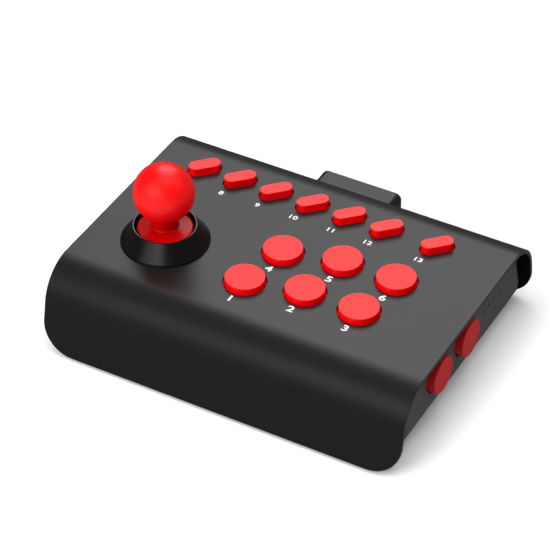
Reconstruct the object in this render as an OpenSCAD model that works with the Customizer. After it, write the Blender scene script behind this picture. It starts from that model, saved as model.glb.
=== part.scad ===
// Arcade fight stick: a bent top shell over a set-back body housing, a ball-top
// stick on a two-axis gimbal, six round buttons, seven oblong buttons and two
// side buttons. Millimetres, +Z up, origin under the centre on the floor.

/* [Shell] */
// Width of the shell and of the whole object
body_w = 220; // [216:1:224]
// Height of the flat top above the floor
top_z = 51; // [50.5:0.5:52]
// Wall thickness of the bent top shell
shell_t = 2.3; // [2:0.1:2.6]
// Outer radius of the front bend
front_r = 24; // [22:0.5:25]
// Angle through which the front bend turns
front_turn = 78.6; // [77:0.1:81]
// Outer radius of the back bend
back_r = 23; // [21:0.5:24]
// Angle through which the back bend turns
back_turn = 80.3; // [79:0.1:83]
// Radius of the lower corners of the front apron
front_corner_r = 18.8; // [16:0.1:20]
// Radius of the lower corners of the back apron
back_corner_r = 23; // [20:0.5:24]
// Height of the apron edges above the floor
apron_gap = 1.9; // [1.6:0.1:2.2]

/* [Body housing] */
// Distance from the shell end to the side panel
side_inset = 4.2; // [3.8:0.1:4.6]
// Clearance between the aprons and the housing walls
apron_clear = 2.0; // [1.8:0.1:2.4]
// Height of the lower edge of the side panel
seam_z = 17; // [16:0.5:18]
// Wall thickness of the housing
wall_t = 2.5; // [2.2:0.1:2.8]

/* [Stick] */
// Diameter of the ball top
ball_d = 34.2; // [34:0.1:35]
// Height of the ball centre above the top plate
ball_up = 32.6; // [32:0.1:33]
// Diameter of the steel shaft
shaft_d = 6; // [5.8:0.1:6.2]
// Height of the bezel above the top plate
bezel_h = 11; // [10.5:0.1:11.5]

/* [Buttons] */
// Diameter of a round cap where it leaves the plate
cap_d = 22.6; // [22:0.1:23]
// Height of the round caps above the plate
cap_up = 3.4; // [3.2:0.1:3.8]
// Height of the oblong caps above the plate
oblong_up = 3.8; // [3.6:0.1:4.2]
// Length of an oblong cap at its foot
oblong_l = 18.6; // [18:0.1:19]
// Width of an oblong cap at its foot
oblong_w = 8.4; // [8:0.1:8.6]
// Diameter of the side buttons
side_cap_d = 21.7; // [21.2:0.1:22]

/* [Hidden] */
$fn = 96;
half_w = body_w / 2;
under_z = top_z - shell_t;              // underside of the top plate
fy = -56.9;                             // centre of the front bend
by = 56.4;                              // centre of the back bend
fz = top_z - front_r;
bz = top_z - back_r;
body_off = shell_t + apron_clear;       // housing surface below the shell surface
side_x = half_w - side_inset;           // outer face of the side panels
cap_r = cap_d / 2;
gap = 0.8;                              // gap round each cap
stick_x = -66.7; stick_y = -22.9;       // stick centre
pivot_z = 39;                           // height of the gimbal axes
ball_z = top_z + ball_up;
round_at = [[-10.45, -33.55], [22.35, -25.75], [55.15, -25.75],
            [-4.35, -1.65], [28.5, 6.1], [61.3, 6.1]];
oblong_y = 42.7;
oblong_at = [for (i = [0:6]) [i < 6 ? -79.7 + 23.32 * i : 68, oblong_y]];
side_at = [-33.5, 0.2];                // front and rear side buttons
side_z = 34.8;
led_at = [24.1, 31.0, 37.9, 44.8];
led_z = 33.9;
board_z = 38;                           // underside of the main board
board_t = 1.6;
case_at = [[-90, -58], [90, -58], [-90, 56], [90, 56], [0, -62], [34, 62], [-34, 62]];
board_boss_at = [[82, -45], [82, 27], [-27, -44], [-27, 26.5], [-91, 28]];
foot_at = [[-76, -49], [76, -49], [-76, 45], [76, 45]];
stick_screw_at = [for (a = [-1, 1], b = [-1, 1]) [stick_x + 22.8 * a, stick_y + 22.8 * b]];
red = [0.86, 0.08, 0.08];
black = [0.12, 0.12, 0.13];
grey = [0.30, 0.30, 0.31];
steel = [0.75, 0.76, 0.78];
green = [0.08, 0.32, 0.16];

// ---- shared shapes -------------------------------------------------------

// Side view of everything inside the shell surface, moved inward by off
module profile(off, low) {
    rf = front_r - off; rb = back_r - off;
    e = 0.02;                           // the straight aprons start this far inside the bends
    f1 = [fy - (rf - e) * sin(front_turn), fz + (rf - e) * cos(front_turn)];
    b1 = [by + (rb - e) * sin(back_turn), bz + (rb - e) * cos(back_turn)];
    intersection() {
        union() {
            translate([fy, fz]) circle(r = rf);
            translate([by, bz]) circle(r = rb);
            polygon([[fy, fz + rf], f1, [f1[0] - (f1[1] - low) / tan(front_turn), low],
                     [b1[0] + (b1[1] - low) / tan(back_turn), low], b1, [by, bz + rb]]);
        }
        translate([-150, low]) square([300, 200]);
    }
}
// The same profile as a solid across the width
module slab(off, low, w) {
    rotate([90, 0, 90]) translate([0, 0, -w / 2]) linear_extrude(height = w) profile(off, low);
}
// Upright block with rounded vertical corners
module rounded(x0, x1, y0, y1, z0, z1, r) {
    translate([0, 0, z0]) linear_extrude(height = z1 - z0) union() {
        translate([x0 + r, y0]) square([x1 - x0 - 2 * r, y1 - y0]);
        translate([x0, y0 + r]) square([x1 - x0, y1 - y0 - 2 * r]);
        for (x = [x0 + r, x1 - r], y = [y0 + r, y1 - r]) translate([x, y]) circle(r = r);
    }
}
module box(x0, x1, y0, y1, z0, z1) {
    translate([x0, y0, z0]) cube([x1 - x0, y1 - y0, z1 - z0]);
}
module post(p, r, z0, z1) { translate([p[0], p[1], z0]) cylinder(r = r, h = z1 - z0); }
module bar_x(y, z, r, x0, x1) { translate([x0, y, z]) rotate([0, 90, 0]) cylinder(r = r, h = x1 - x0); }
module bar_y(x, z, r, y0, y1) { translate([x, y1, z]) rotate([90, 0, 0]) cylinder(r = r, h = y1 - y0); }
// Oblong block turned 45 degrees, l long and w wide
module oblong(p, l, w, z0, z1) {
    s = (l - w) / 2;
    translate([p[0], p[1], z0]) rotate([0, 0, 45]) linear_extrude(height = z1 - z0) union() {
        translate([-s, -w / 2]) square([2 * s, w]);
        for (x = [-s, s]) translate([x, 0]) circle(r = w / 2);
    }
}
// Tapered oblong turned 45 degrees: levels is a list of [half width, height],
// s is half the distance between the end centres
module oblong_taper(p, s, levels) {
    n = 16;
    ring = 2 * n + 2;
    pts = [for (v = levels) for (k = [0:ring - 1])
        let (a = k <= n ? -90 + 180 * k / n : 90 + 180 * (k - n - 1) / n)
        [(k <= n ? s : -s) + v[0] * cos(a), v[0] * sin(a), v[1]]];
    top = (len(levels) - 1) * ring;
    faces = concat(
        [[for (k = [0:ring - 1]) k]],
        [[for (k = [0:ring - 1]) top + ring - 1 - k]],
        [for (j = [0:len(levels) - 2]) for (k = [0:ring - 1])
            [j * ring + k, (j + 1) * ring + k, (j + 1) * ring + (k + 1) % ring, j * ring + (k + 1) % ring]]);
    translate([p[0], p[1], 0]) rotate([0, 0, 45]) polyhedron(points = pts, faces = faces, convexity = 4);
}
// Screw standing up from its head, which lies below z
module screw(p, z, l, r, head_r, head_h) {
    difference() {
        union() { post(p, r, z - 0.01, z + l); post(p, head_r, z - head_h, z); }
        for (a = [0, 90]) translate([p[0], p[1], z - head_h]) rotate([0, 0, a])
            cube([head_r * 1.1, head_r * 0.28, head_h], center = true);
    }
}

// ---- casing --------------------------------------------------------------

// The shell seen from the front, 151 mm deep and ending at y_end
module apron_outline(r, y_end) {
    translate([0, y_end, 0]) rotate([90, 0, 0]) linear_extrude(height = 151) union() {
        translate([-half_w, apron_gap + r]) square([body_w, 80]);
        translate([-half_w + r, apron_gap]) square([body_w - 2 * r, 40]);
        for (x = [-1, 1]) translate([x * (half_w - r), apron_gap + r]) circle(r = r);
    }
}
module top_shell() {
    color(grey) union() {
        difference() {
            intersection() {
                slab(0, apron_gap, body_w);
                // front view with rounded lower corners, one half for each apron
                union() {
                    apron_outline(front_corner_r, 1);
                    apron_outline(back_corner_r, 150);
                }
            }
            slab(shell_t, -10, body_w + 4);
            for (p = round_at) post(p, cap_r + gap, under_z - 1, top_z + 1);
            for (p = oblong_at) oblong(p, oblong_l + 2 * gap, oblong_w + 2 * gap, under_z - 1, top_z + 1);
            post([stick_x, stick_y], 17, under_z - 1, top_z + 1);
            // notch in the back apron round the rear socket
            box(-26.6, 26.6, 60, 100, -1, 42.5);
        }
        // bosses for the case screws
        for (p = case_at) difference() {
            post(p, 4, 22, under_z);
            post(p, 1.5, 21, 36);
        }
        // bosses for the stick base
        for (p = stick_screw_at) difference() {
            post(p, 3.6, 45.2, under_z);
            post(p, 1.5, 45, 48.2);
        }
        // bosses for the main board
        for (p = board_boss_at) difference() {
            post(p, 3, board_z + board_t, under_z);
            post(p, 1.3, board_z, 46);
        }
        // bosses for the side board
        for (y = [-52, 50]) difference() {
            box(87, 92.4, y - 3.5, y + 3.5, 30, under_z);
            bar_x(y, 40, 1.3, 86, 93);
        }
    }
}

module chassis_frame() {
    color(black) difference() {
        union() {
            intersection() {
                slab(body_off, seam_z, body_w);
                rounded(-side_x, side_x, -80.5, 78.5, seam_z, 60, 5);
            }
            rounded(-side_x, side_x, -56, 55, 44, under_z, 5);
        }
        // hollow
        intersection() {
            slab(body_off + wall_t, seam_z - 1, body_w);
            box(-side_x + wall_t, side_x - wall_t, -90, 90, seam_z - 1, 44.2);
        }
        box(-side_x + wall_t, side_x - wall_t, -50, 52.3, 40, 60);
        // holes that the case bosses pass through
        for (p = case_at) post(p, 4.3, 30, 60);
        for (y = [-52, 50]) box(86.6, 92.8, y - 3.9, y + 3.9, 40, 60);
        // holes for the side buttons and the status lights
        for (y = side_at) bar_x(y, side_z, side_cap_d / 2 + gap, 100, 108);
        for (y = led_at) bar_x(y, led_z, 0.6, 100, 108);
        // window for the rear socket, and its two screw holes
        box(-20, 20, 60, 90, 19, 40);
        box(-8, 8, 60, 90, 17.8, 20);
        for (x = [-23, 23]) bar_y(x, 29, 1.7, 60, 90);
    }
}

module cover_block(inset, z0) {
    intersection() {
        translate([0, 100, 0]) rotate([90, 0, 0]) linear_extrude(height = 200)
            polygon([[-96 + inset, z0], [96 - inset, z0], [104.8 - inset, 14.4], [104.8 - inset, seam_z],
                     [-104.8 + inset, seam_z], [-104.8 + inset, 14.4]]);
        rotate([90, 0, 90]) translate([0, 0, -120]) linear_extrude(height = 240)
            polygon([[-71 + inset, z0], [68 - inset, z0], [76 - inset, 14.4], [76 - inset, seam_z],
                     [-77.9 + inset, seam_z], [-77.9 + inset, 14.4]]);
        rounded(-105.2 + inset, 105.2 - inset, -78.4 + inset, 76.7 - inset, z0 - 1, seam_z + 1, 6);
    }
}
module bottom_cover() {
    color(black) difference() {
        union() {
            difference() {
                cover_block(0, 3);
                translate([0, 0, 0.01]) cover_block(2.3, 5.2);
            }
            for (p = case_at) post(p, 4.6, 5, 21.8);
            // battery tray
            difference() {
                box(6.8, 63.2, -49.2, -10.8, 5, 9);
                box(8.3, 61.7, -47.7, -12.3, 4, 10);
            }
            // lip that locates the cover inside the housing
            for (x = [-1, 1]) box(x > 0 ? 100.9 : -102.9, x > 0 ? 102.9 : -100.9, -60, 58, 14.6, 20);
        }
        for (p = case_at) { post(p, 1.7, 2, 23); post(p, 3.4, 2, 12); }
    }
}

module rear_socket() {
    color(grey) difference() {
        union() {
            difference() {
                rounded(-26, 26, 66, 86.4, 14, 41.9, 5);
                slab(body_off - 0.001, 10, 80);
            }
            // spigot that fills the window in the housing
            box(-19.9, 19.9, 64, 78, 19.1, 39.9);
        }
        // two pockets, open to the back
        for (x = [-12, 12]) box(x - 6, x + 6, 74.2, 90, 26, 38);
        // tunnel for the charging socket
        box(-4.8, 4.8, 60, 90, 19.6, 23.4);
        box(-8, 8, 60, 81.7, 17.9, 25.0);
        // screw holes
        for (x = [-23, 23]) bar_y(x, 29, 1.3, 70, 84.4);
    }
}
module socket_screws() {
    color(steel) for (x = [-23, 23]) {
        bar_y(x, 29, 1.2, 71.7, 82.6);
        difference() {
            bar_y(x, 29, 2.6, 69.7, 71.7);
            box(x - 2, x + 2, 69, 70.4, 28.6, 29.4);
        }
    }
}

module rubber_feet() { color([0.05, 0.05, 0.05]) for (p = foot_at) difference() {
    post(p, 8, 0, 3); post(p, 5.5, -1, 0.5); } }
module case_screws() { color(steel) for (p = case_at) screw(p, 12, 20, 1.4, 2.8, 2.2); }

// ---- stick ---------------------------------------------------------------

module joystick_bezel() {
    color(black) translate([stick_x, stick_y, top_z]) difference() {
        rotate_extrude() polygon([[15.2, -3.8], [17.5, -3.8], [17.5, -2.5], [16.9, -2.5], [16.9, 0],
            [25, 0], [25, 0.9], [24.3, 1.2], [18.1, bezel_h - 0.4], [17.8, bezel_h], [17.1, bezel_h],
            [16.9, bezel_h - 0.4], [21.7, 2], [20.9, 1.4], [15.2, 1.4]]);
        for (a = [0:45:359]) rotate([0, 0, a]) translate([14, -0.6, -4]) cube([5, 1.2, 3.6]);
    }
}
module ball_knob() {
    color(red) difference() {
        translate([stick_x, stick_y, ball_z]) sphere(r = ball_d / 2);
        box(stick_x - 20, stick_x + 20, stick_y - 20, stick_y + 20, 50, top_z + 17.4);
        post([stick_x, stick_y], shaft_d / 2 + 0.02, 60, ball_z + 2);
    }
}
module dust_skirt() {
    color(red) translate([stick_x, stick_y, top_z]) rotate_extrude()
        polygon([[shaft_d / 2 + 0.02, 17.4], [7.7, 17.4], [7.9, 17.1], [7.9, 14.5], [7.5, 14], [7.1, 13.7],
                 [7.1, 11.9], [7.5, 11.1], [8.4, 10.6], [10.2, 10.25], [15.2, 9.1], [15.65, 8.6], [15.65, 7.9], [15.0, 7.6], [9.5, 8.6], [6, 8.6], [6, 5.5],
                 [shaft_d / 2 + 0.02, 5.5]]);
}
module stick_shaft() {
    color(steel) translate([stick_x, stick_y, 0]) rotate_extrude()
        polygon([[0, 11], [2.5, 11], [3, 11.5], [3, 13.3], [2.4, 13.3], [2.4, 14.2], [shaft_d / 2, 14.2],
                 [shaft_d / 2, ball_z + 0.5], [shaft_d / 2 - 0.6, ball_z + 1.5], [0, ball_z + 1.5]]);
}
module pivot_hub() {
    color([0.9, 0.9, 0.88]) difference() {
        union() {
            post([stick_x, stick_y], 6.4, pivot_z - 3.4, pivot_z + 3.4);
            post([stick_x, stick_y], 5, pivot_z + 3.3, pivot_z + 17.4);
        }
        post([stick_x, stick_y], shaft_d / 2 + 0.02, 30, 60);
        bar_y(stick_x, pivot_z, 1.52, stick_y - 8, stick_y + 8);
    }
}
module shaft_pins() {
    color(steel) for (s = [-1, 1]) bar_y(stick_x, pivot_z, 1.5,
        s < 0 ? stick_y - 12.3 : stick_y + 3.4, s < 0 ? stick_y - 3.4 : stick_y + 12.3);
}
module gimbal_ring() {
    color([0.9, 0.9, 0.88]) difference() {
        post([stick_x, stick_y], 12.6, pivot_z - 3, pivot_z + 3);
        post([stick_x, stick_y], 9, pivot_z - 4, pivot_z + 4);
        bar_y(stick_x, pivot_z, 1.55, stick_y - 14, stick_y + 14);
        bar_x(stick_y, pivot_z, 1.52, stick_x - 14, stick_x + 14);
    }
}
module gimbal_pins() {
    color(steel) for (s = [-1, 1]) bar_x(stick_y, pivot_z, 1.5,
        s < 0 ? stick_x - 20.5 : stick_x + 9.4, s < 0 ? stick_x - 9.4 : stick_x + 20.5);
}
module joystick_base() {
    sx = stick_x; sy = stick_y;
    color(black) difference() {
        union() {
            rounded(sx - 26, sx + 26, sy - 26, sy + 26, 42.2, 45.2, 4);
            rounded(sx - 21, sx + 21, sy - 21, sy + 21, 31.5, 42.3, 3);
            for (a = [-1, 1], b = [-1, 1]) post([sx + 17.3 * a, sy + 17.3 * b], 3.2, 14.6, 31.6);
        }
        post([sx, sy], 16.4, 33.5, 50);
        post([sx, sy], 5.2, 30, 34);
        bar_x(sy, pivot_z, 1.55, sx - 23, sx + 23);
        for (p = stick_screw_at) post(p, 1.7, 40, 50);
        for (a = [-1, 1], b = [-1, 1]) post([sx + 17.3 * a, sy + 17.3 * b], 1.2, 14, 24);
    }
}
module joystick_screws() { color(steel) for (p = stick_screw_at) screw(p, 42.2, 5.6, 1.4, 2.8, 1.9); }
// Compression spring between the base web and the actuator
spring_r = 6.2; spring_wire = 0.9; spring_turns = 5; spring_steps = 20;
spring_z0 = 22.5 + spring_wire / 2 + 0.02; spring_z1 = 31.5 - spring_wire / 2 - 0.02;
module centering_spring() {
    n = spring_turns * spring_steps;
    sides = 8;
    lead = spring_wire * 1.05;
    // height along the wire: one closed turn at each end, open turns between
    zs = [for (i = [0:n]) let (t = i / spring_steps)
        t < 1 ? spring_z0 + lead * t * 0.9 : t > spring_turns - 1 ? spring_z1 - lead * (spring_turns - t) * 0.9
        : spring_z0 + lead * 0.9 + (t - 1) / (spring_turns - 2) * (spring_z1 - spring_z0 - 1.8 * lead)];
    pts = [for (i = [0:n]) let (a = 360 * i / spring_steps)
        for (k = [0:sides - 1]) let (b = 360 * k / sides, rr = spring_r + spring_wire / 2 * cos(b))
        [rr * cos(a), rr * sin(a), zs[i] + spring_wire / 2 * sin(b)]];
    faces = concat(
        [[for (k = [0:sides - 1]) k]],
        [[for (k = [0:sides - 1]) n * sides + sides - 1 - k]],
        [for (i = [0:n - 1]) for (k = [0:sides - 1])
            [i * sides + k, (i + 1) * sides + k, (i + 1) * sides + (k + 1) % sides, i * sides + (k + 1) % sides]]);
    color(steel) translate([stick_x, stick_y, 0]) polyhedron(points = pts, faces = faces, convexity = 10);
}
module stick_actuator() {
    color([0.9, 0.9, 0.88]) translate([stick_x, stick_y, 0]) difference() {
        rotate_extrude() polygon([[shaft_d / 2 + 0.02, 14.3], [6.2, 14.3], [7, 15.1], [7, 21.9], [7.4, 22.5],
            [shaft_d / 2 + 0.02, 22.5]]);
    }
}
module shaft_clip() {
    color(steel) difference() {
        post([stick_x, stick_y], 5, 13.35, 14.15);
        post([stick_x, stick_y], 2.42, 13, 15);
        box(stick_x, stick_x + 6, stick_y - 2, stick_y + 2, 13, 15);
    }
}
module stick_board() {
    color(green) difference() {
        rounded(stick_x - 21, stick_x + 21, stick_y - 21, stick_y + 21, 13, 14.6, 3);
        rounded(stick_x - 12, stick_x + 12, stick_y - 12, stick_y + 12, 12, 15, 6);
        for (a = [-1, 1], b = [-1, 1]) post([stick_x + 17.3 * a, stick_y + 17.3 * b], 1.5, 12, 15);
    }
}
module direction_switches() {
    color([0.15, 0.15, 0.16]) translate([stick_x, stick_y, 0]) for (a = [0:90:359]) rotate([0, 0, a]) union() {
        box(12.7, 16.2, -3.1, 3.1, 14.6, 21.6);
        translate([10.95, 0, 18.2]) rotate([0, 90, 0]) cylinder(r = 1.6, h = 2);
    }
}
module restrictor_gate() {
    color([0.2, 0.2, 0.21]) difference() {
        rounded(stick_x - 21, stick_x + 21, stick_y - 21, stick_y + 21, 10.8, 13, 3);
        rounded(stick_x - 7.7, stick_x + 7.7, stick_y - 7.7, stick_y + 7.7, 10, 14, 2.5);
        for (a = [-1, 1], b = [-1, 1]) post([stick_x + 17.3 * a, stick_y + 17.3 * b], 1.5, 10, 15);
    }
}
module gate_screws() {
    color(steel) for (a = [-1, 1], b = [-1, 1])
        screw([stick_x + 17.3 * a, stick_y + 17.3 * b], 10.8, 11, 1.1, 2.4, 1.6);
}

// ---- buttons -------------------------------------------------------------

module round_cap(i) {
    p = round_at[i];
    color(red) translate([p[0], p[1], 0]) rotate_extrude()
        polygon([[0, 44.65], [3.6, 44.65], [4, 45.1], [4, 52.6], [10.2, 52.6], [10.2, 46.9], [13.4, 46.9],
                 [13.4, under_z - 0.15], [cap_r, under_z - 0.15], [cap_r, top_z + 0.1],
                 [10.95, top_z + cap_up - 0.3], [10.65, top_z + cap_up], [0, top_z + cap_up]]);
}
module oblong_cap(i) {
    p = oblong_at[i];
    color(red) difference() {
        union() {
            oblong(p, oblong_l, oblong_w, 46.9, top_z + 0.1);
            oblong_taper(p, (oblong_l - oblong_w) / 2, [[oblong_w / 2 - 0.05, top_z],
                [oblong_w / 2 - 0.2, top_z + oblong_up - 0.3], [oblong_w / 2 - 0.45, top_z + oblong_up]]);
            oblong(p, oblong_l + 2.8, oblong_w + 2.8, 46.9, under_z - 0.15);
            post(p, 2.2, 44.65, 50);
        }
        difference() {
            oblong(p, oblong_l - 3.4, oblong_w - 3.4, 46, 52.6);
            post(p, 2.2, 44, 54);
        }
    }
}
module side_cap(i) {
    color(red) translate([0, side_at[i], side_z]) rotate([0, 90, 0]) rotate_extrude()
        polygon([[0, 98.05], [3.2, 98.05], [3.6, 98.5], [3.6, 107.4], [9.4, 107.4], [9.4, 101.5], [12.4, 101.5],
                 [12.4, side_x - wall_t - 0.15], [side_cap_d / 2, side_x - wall_t - 0.15],
                 [side_cap_d / 2, half_w - 0.4], [side_cap_d / 2 - 0.4, half_w], [0, half_w]]);
}

// ---- electronics ---------------------------------------------------------

module main_board() {
    z1 = board_z + board_t;
    color(green) difference() {
        union() {
            box(-96, 86.4, 24, 56, board_z, z1);
            box(-31, 86.4, -52, 56, board_z, z1);
            // parts soldered to the underside
            box(10, 18, 24, 32, board_z - 1.2, board_z + 0.1);
            box(-20, -8, 30, 38, board_z - 4.5, board_z + 0.1);
            box(40, 48, -50, -42, board_z - 4.5, board_z + 0.1);
            for (i = [0:5]) box(24 + 4 * i, 25.6 + 4 * i, 16, 17, board_z - 0.8, board_z + 0.1);
        }
        for (p = board_boss_at) post(p, 1.6, board_z - 1, z1 + 1);
        for (p = case_at) post(p, 5, board_z - 1, z1 + 1);
    }
}
module board_screws() { color(steel) for (p = board_boss_at) screw(p, board_z, 7, 1.2, 2.5, 1.7); }
module radio_module() {
    color([0.7, 0.72, 0.74]) union() {
        box(50, 66, 38.5, 52, board_z - 0.8, board_z);
        box(51, 61, 39.5, 51, board_z - 2.6, board_z - 0.8);
    }
}
module round_keypad() {
    z = board_z + board_t;
    color([0.8, 0.8, 0.78]) union() {
        difference() {
            rounded(-22.6, 76, -49, 20, z, z + 1, 3);
            for (p = round_at) post(p, 3, z - 1, z + 0.4);
        }
        for (p = round_at) translate([p[0], p[1], z + 0.99]) cylinder(r1 = 6.2, r2 = 4.4, h = 4.0);
    }
}
module oblong_keypad() {
    z = board_z + board_t;
    color([0.8, 0.8, 0.78]) union() {
        rounded(-87.5, 75.5, 34.6, 50.8, z, z + 1, 3);
        for (p = oblong_at) translate([p[0], p[1], z + 0.99]) cylinder(r1 = 4.0, r2 = 2.8, h = 4.0);
    }
}
module side_board() {
    color(green) difference() {
        box(92.4, 94, -56, 54, 23, 43.6);
        for (y = [-52, 50]) bar_x(y, 40, 1.6, 90, 96);
        for (p = case_at) post(p, 5, 20, 50);
    }
}
module side_board_screws() {
    color(steel) for (y = [-52, 50]) union() {
        bar_x(y, 40, 1.2, 87, 94.01);
        difference() {
            bar_x(y, 40, 2.4, 94, 95.6);
            box(95.1, 96, y - 0.35, y + 0.35, 38.4, 41.6);
        }
    }
}
module side_keypad() {
    color([0.8, 0.8, 0.78]) union() {
        box(94, 95, -46.5, 10.5, 25, 43.4);
        for (y = side_at) translate([94.99, y, side_z]) rotate([0, 90, 0]) cylinder(r1 = 5.6, r2 = 3.8, h = 3.01);
    }
}
module status_lights() {
    color([0.95, 0.95, 0.9]) for (y = led_at) box(94, 95.4, y - 0.8, y + 0.8, led_z - 0.8, led_z + 0.8);
}
module light_guide() {
    color([0.9, 0.92, 0.95, 0.5]) union() {
        box(96, 98.6, 21.5, 47.4, 31.9, 35.9);
        for (y = led_at) bar_x(y, led_z, 1.4, 98.5, 103.2);
        for (y = led_at) bar_x(y, led_z, 0.52, 103.1, 104.6);
    }
}
module battery() { color([0.55, 0.6, 0.66]) rounded(9, 61, -47, -13, 5.3, 11.8, 2); }
module battery_leads() {
    color([0.7, 0.1, 0.1]) for (y = [-31.2, -28.8]) translate([0, y, 0]) rotate([90, 0, 0])
        linear_extrude(height = 1.2, center = true)
        polygon([[61.02, 9.6], [66, 9.6], [71.2, 14.8], [71.2, 37.98], [70, 37.98], [70, 15.3], [65.5, 10.8], [61.02, 10.8]]);
}
module charging_board() {
    color(green) difference() { box(-7.5, 7.5, 48, 81, 18.1, 19.4); post([0, 54], 1.2, 17, 20); }
}
module charging_socket() {
    color(steel) difference() {
        rounded_x(4.4, 1.6, 78.4, 85.8, 21.3);
        rounded_x(3.9, 1.1, 79.8, 87.2, 21.3);
    }
}
// Flat-sided tube along Y with round ends, half width a and half height b
module rounded_x(a, b, y0, y1, z) {
    for (x = [-a + b, a - b]) bar_y(x, z, b, y0, y1);
    box(-a + b, a - b, y0, y1, z - b, z + b);
}
module stick_ribbon() {
    color([0.75, 0.75, 0.78]) translate([0, stick_y + 10, 0]) rotate([90, 0, 0])
        linear_extrude(height = 9, center = true)
        polygon([[stick_x + 21.02, 13.6], [-36, 13.6], [-26.5, 24], [-26.5, 37.98], [-26.9, 37.98],
                 [-26.9, 24.2], [-36.2, 14], [stick_x + 21.02, 14]]);
}
module side_ribbon() {
    color([0.75, 0.75, 0.78]) translate([0, 18, 0]) rotate([90, 0, 0])
        linear_extrude(height = 8, center = true)
        polygon([[84, 37.98], [84, 30], [88, 26.2], [92.38, 26.2], [92.38, 26.6], [88.2, 26.6], [84.4, 30.2],
                 [84.4, 37.98]]);
}

top_shell();
chassis_frame();
bottom_cover();
rear_socket();
socket_screws();
joystick_bezel();
ball_knob();
dust_skirt();
stick_shaft();
pivot_hub();
shaft_pins();
gimbal_ring();
gimbal_pins();
joystick_base();
joystick_screws();
centering_spring();
stick_actuator();
shaft_clip();
direction_switches();
stick_board();
restrictor_gate();
gate_screws();
round_cap(0);  // round_button_1
round_cap(1);  // round_button_2
round_cap(2);  // round_button_3
round_cap(3);  // round_button_4
round_cap(4);  // round_button_5
round_cap(5);  // round_button_6
oblong_cap(0);  // oblong_button_1
oblong_cap(1);  // oblong_button_2
oblong_cap(2);  // oblong_button_3
oblong_cap(3);  // oblong_button_4
oblong_cap(4);  // oblong_button_5
oblong_cap(5);  // oblong_button_6
oblong_cap(6);  // oblong_button_7
side_cap(0);  // side_button_front
side_cap(1);  // side_button_rear
main_board();
round_keypad();
oblong_keypad();
board_screws();
radio_module();
side_board();
side_keypad();
side_board_screws();
status_lights();
light_guide();
battery();
battery_leads();
charging_board();
charging_socket();
stick_ribbon();
side_ribbon();
case_screws();
rubber_feet();
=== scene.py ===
import math

import bmesh
import bpy
from mathutils import Matrix, Vector
from mathutils.geometry import delaunay_2d_cdt


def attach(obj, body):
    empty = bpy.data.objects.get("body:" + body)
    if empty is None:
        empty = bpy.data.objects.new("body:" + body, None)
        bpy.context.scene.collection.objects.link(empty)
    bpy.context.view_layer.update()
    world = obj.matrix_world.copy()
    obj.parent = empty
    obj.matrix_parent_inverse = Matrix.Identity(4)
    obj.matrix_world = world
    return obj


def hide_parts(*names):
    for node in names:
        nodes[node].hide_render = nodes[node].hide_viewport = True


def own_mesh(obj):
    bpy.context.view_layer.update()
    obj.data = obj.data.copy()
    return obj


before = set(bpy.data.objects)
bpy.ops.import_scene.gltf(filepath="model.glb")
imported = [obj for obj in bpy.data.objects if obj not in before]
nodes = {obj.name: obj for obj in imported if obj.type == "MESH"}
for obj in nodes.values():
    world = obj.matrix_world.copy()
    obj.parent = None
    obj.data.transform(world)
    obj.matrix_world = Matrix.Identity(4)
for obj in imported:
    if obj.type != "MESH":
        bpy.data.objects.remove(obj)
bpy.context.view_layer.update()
scene = bpy.context.scene
MM = 0.001

# ---- sizes, in millimetres, the same as the CAD --------------------------
HALF_W = 110.0
TOP_Z = 51.0
SHELL_T = 2.3
FRONT_R, FRONT_TURN, FY = 24.0, 78.6, -56.9
BACK_R, BACK_TURN, BY = 23.0, 80.3, 56.4
FZ, BZ = TOP_Z - FRONT_R, TOP_Z - BACK_R
GAP_Z = 1.9
FRONT_CORNER, BACK_CORNER = 18.8, 23.0
SIDE_X = 105.8
SEAM_Z = 17.0
ROUND_AT = [(-10.45, -33.55), (22.35, -25.75), (55.15, -25.75), (-4.35, -1.65), (28.5, 6.1), (61.3, 6.1)]
OBLONG_AT = [((-79.7 + 23.32 * i) if i < 6 else 68.0, 42.7) for i in range(7)]
STICK = (-66.7, -22.9)
BALL_Z = 83.6
SIDE_AT = [-33.5, 0.2]
SIDE_Z = 34.8
LED_AT = [24.1, 31.0, 37.9, 44.8]
LED_Z = 33.9


def rad(a):
    return a * math.pi / 180


# ---- mesh building -------------------------------------------------------

def make(name, verts, faces, normals=None, smooth=True):
    """A mesh object from points in millimetres, with a normal for each vertex where they are given."""
    mesh = bpy.data.meshes.new(name)
    mesh.from_pydata([(v[0] * MM, v[1] * MM, v[2] * MM) for v in verts], [], faces)
    mesh.validate(clean_customdata=False)
    if smooth:
        mesh.polygons.foreach_set("use_smooth", [True] * len(mesh.polygons))
    if normals is not None and len(normals) == len(mesh.vertices):
        mesh.normals_split_custom_set_from_vertices([Vector(n).normalized() for n in normals])
    mesh.update()
    obj = bpy.data.objects.new(name, mesh)
    scene.collection.objects.link(obj)
    return obj


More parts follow.
